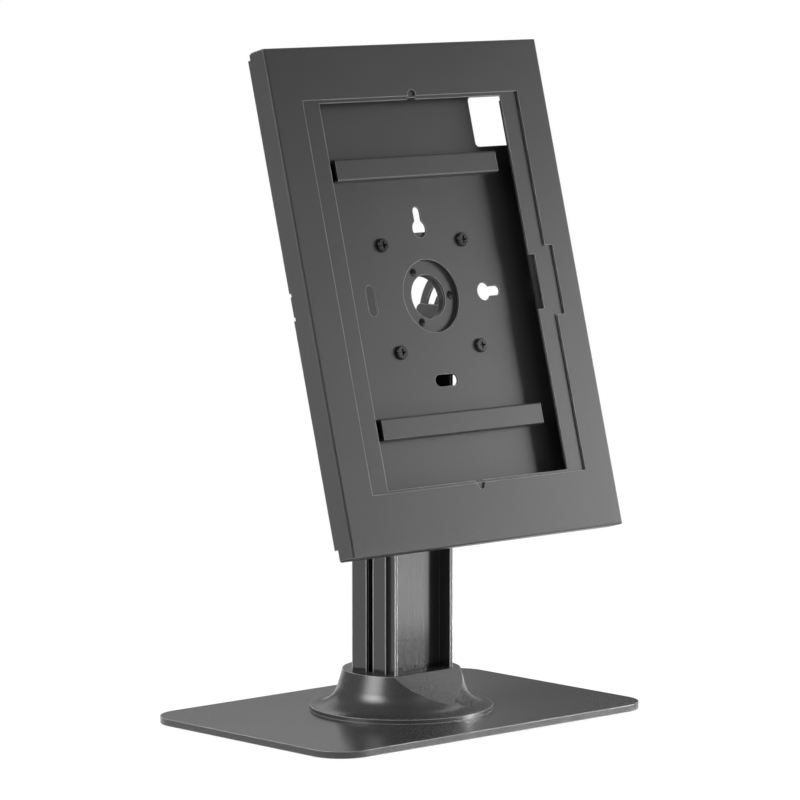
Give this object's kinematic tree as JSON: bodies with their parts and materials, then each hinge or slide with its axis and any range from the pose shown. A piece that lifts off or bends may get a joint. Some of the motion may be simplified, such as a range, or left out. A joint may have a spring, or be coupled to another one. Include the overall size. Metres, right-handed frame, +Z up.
{
  "type": "tablet security kiosk stand",
  "caption": "Desk stand with a flared collar and slotted column carrying a tilting, swivelling lockable tablet enclosure with a framed window.",
  "frame": {"origin": "middle of the footprint, level with the underside of the feet", "axes": "+Z up, -Y towards the person using the tablet, +X to that person's right"},
  "size_m": [0.239, 0.161, 0.3774],
  "materials": {
    "coat": "fine powder coat, charcoal",
    "anodised": "satin black anodised",
    "steel": "zinc plated",
    "black_steel": "black zinc plated",
    "plated": "nickel plated",
    "plastic": "smooth",
    "rubber": "moulded",
    "foam": "closed cell foam"
  },
  "bodies": {
    "base": {"base_plate": "coat", "feet": "rubber", "base_collar": "coat", "base_bolts": "steel", "column": "anodised", "column_bracket": "coat", "cap_screws": "steel", "tilt_bolts": "black_steel", "tilt_washers": "black_steel", "tilt_nuts": "steel"},
    "yoke": {"tilt_yoke": "coat", "friction_washer": "plastic", "hub_ring": "coat", "ring_screws": "black_steel"},
    "head": {"turntable_plate": "coat", "turntable_cup": "coat", "tray": "coat", "tray_screws": "black_steel", "tray_nuts": "steel", "bar_top": "coat", "bar_bottom": "coat", "lock_barrel": "plated", "lock_nut": "plated"},
    "cover": {"front_cover": "coat", "lock_catch": "coat", "mask": "coat", "pad_left": "foam", "pad_right": "foam"},
    "rotor": {"lock_rotor": "plated", "lock_cam": "steel", "cam_screw": "steel"}
  },
  "joints": [
    {"name": "tilt", "type": "hinge", "parent": "base", "child": "yoke", "pos_m": [0, -0.0191, 0.2231], "axis": [-1, 0, 0], "range_deg": [-15, 45]},
    {"name": "swivel", "type": "hinge", "parent": "yoke", "child": "head", "pos_m": [0, -0.02064, 0.23821], "axis": [0, 0.9659, -0.2588], "range_deg": [-90, 90]},
    {"name": "cover_swing", "type": "hinge", "parent": "head", "child": "cover", "pos_m": [-0.0992, -0.02422, 0.23917], "axis": [0, -0.2588, -0.9659], "range_deg": [0, 35]},
    {"name": "lock_turn", "type": "hinge", "parent": "head", "child": "rotor", "pos_m": [0.088, -0.02267, 0.23876], "axis": [0, 0.9659, -0.2588], "range_deg": [0, 90]}
  ]
}
